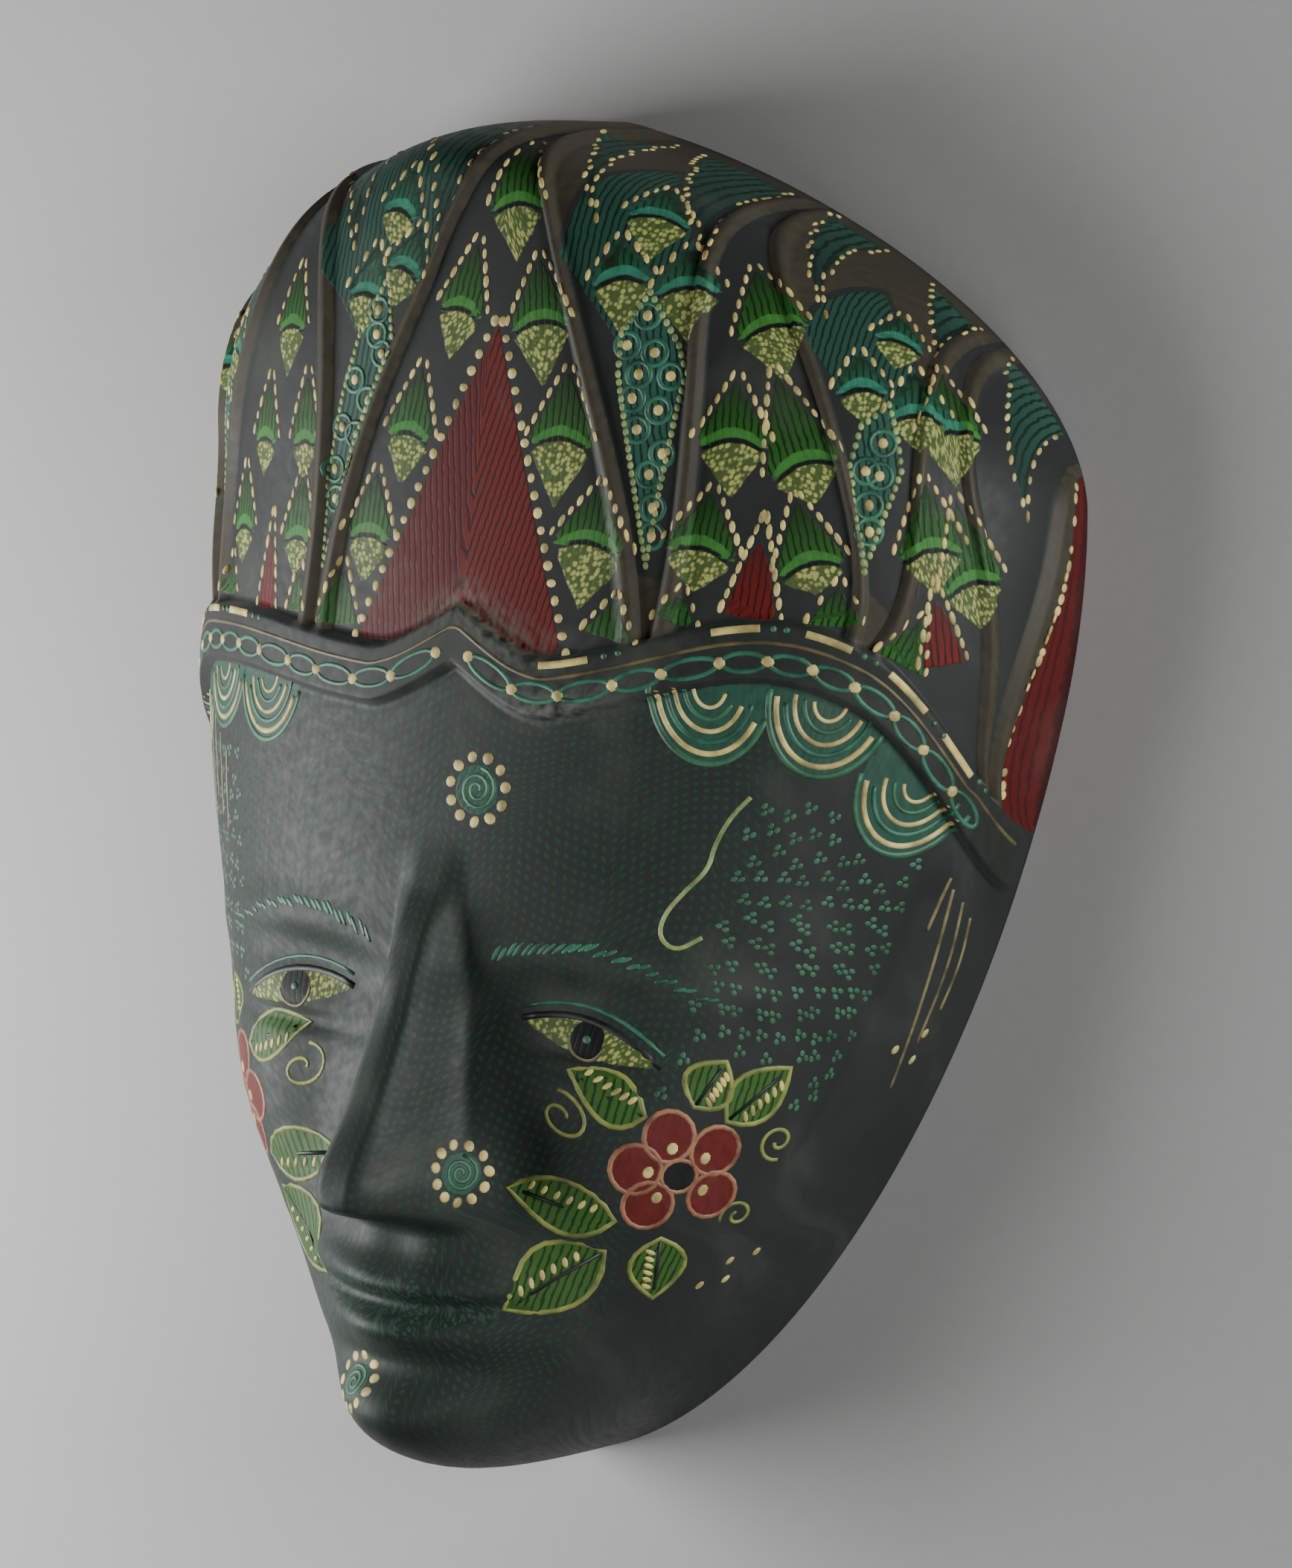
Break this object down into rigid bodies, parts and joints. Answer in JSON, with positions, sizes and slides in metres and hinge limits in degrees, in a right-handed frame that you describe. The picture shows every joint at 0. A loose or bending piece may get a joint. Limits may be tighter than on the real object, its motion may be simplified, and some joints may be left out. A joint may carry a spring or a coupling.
{
  "type": "batik-decorated wooden topeng mask",
  "caption": "Hollow carved wooden face mask with a fan-shaped crown, wavy crown band and flat back edge, painted in batik style.",
  "frame": {"origin": "centre of the mask's outline on the flat back edge it lies on", "axes": "+Z out of the face, +Y from chin to crown, +X across the face to the viewer's right"},
  "size_m": [0.169, 0.23, 0.0797],
  "materials": {
    "lacquered_wood": "dark satin lacquer over carved wood, batik-painted in green, cream and red"
  },
  "bodies": {
    "root": {"mask": "lacquered_wood"}
  },
  "joints": []
}
